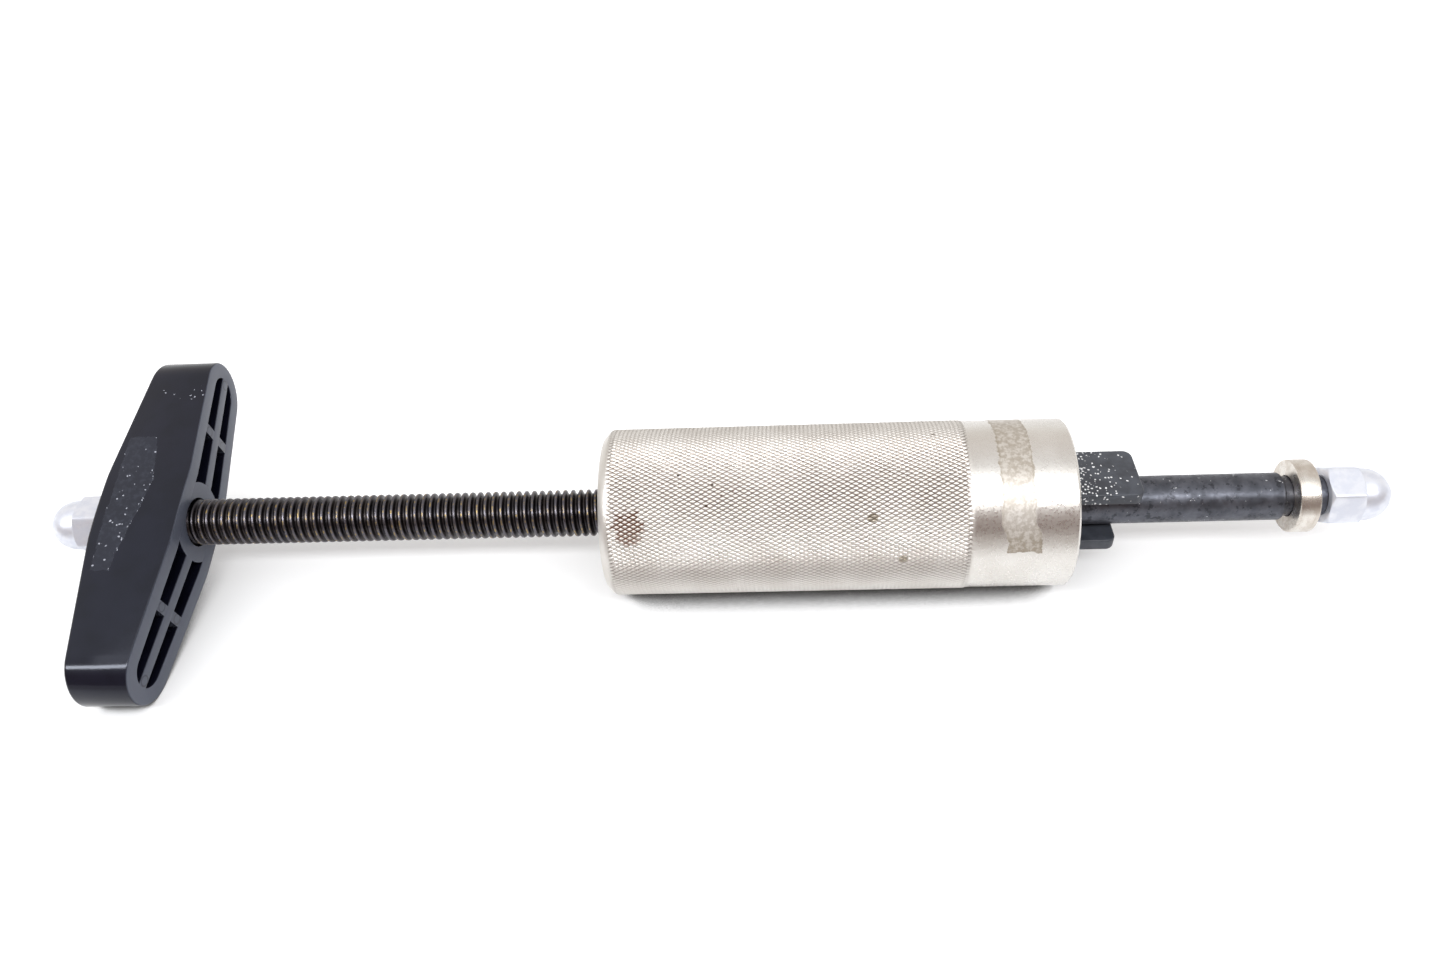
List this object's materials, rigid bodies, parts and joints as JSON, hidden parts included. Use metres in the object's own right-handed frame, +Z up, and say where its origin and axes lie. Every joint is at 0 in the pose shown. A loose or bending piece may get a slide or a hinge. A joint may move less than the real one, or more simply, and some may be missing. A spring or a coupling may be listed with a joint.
{
  "type": "piston pin puller",
  "caption": "Hand tool that pulls a piston pin: a T-handled screw runs through a knurled hollow sleeve and draws the pin into its mouth.",
  "frame": {"origin": "on the bench, below the middle of the tool's length, with the tool lying on its sleeve and one end of its handle", "axes": "+X along the screw from the handle towards the nose, +Z up from the bench, +Y to the left when looking along +X"},
  "size_m": [0.3584, 0.0998, 0.0444],
  "materials": {
    "black_nylon": "moulded, satin, scuffed at the edges",
    "plated_sleeve": "nickel plated, knurled, worn",
    "turned_steel": "turned, oiled",
    "dark_screw": "black oxide, worn bright on the crests",
    "black_fork": "black, chipped at the edges",
    "plated_ring": "turned and plated",
    "bright_zinc": "bright zinc plated"
  },
  "bodies": {
    "sleeve_body": {"sleeve": "plated_sleeve", "end_plug": "turned_steel"},
    "guide": {"guide_fork": "black_fork"},
    "ring": {"puller_ring": "plated_ring"},
    "screw": {"drive_screw": "dark_screw", "t_handle": "black_nylon", "handle_cap_nut": "bright_zinc"},
    "tip_nut": {"tip_cap_nut": "bright_zinc"}
  },
  "joints": [
    {"name": "screw_travel", "type": "slide", "parent": "sleeve_body", "child": "ring", "axis": [1, 0, 0], "range_m": [-0.0394, 0.1135]},
    {"name": "screw_turn", "type": "hinge", "parent": "ring", "child": "screw", "pos_m": [0, 0, 0.0222], "axis": [1, 0, 0], "range_deg": [-6700, 19300]},
    {"name": "guide_slide", "type": "slide", "parent": "sleeve_body", "child": "guide", "axis": [1, 0, 0], "range_m": [-0.0595, 0]},
    {"name": "tip_nut_off", "type": "slide", "parent": "screw", "child": "tip_nut", "axis": [1, 0, 0], "range_m": [0, 0.02]}
  ],
  "couplings": [
    {"joint": "screw_travel", "follows": "screw_turn", "m_per_rad": 0.00033688}
  ]
}
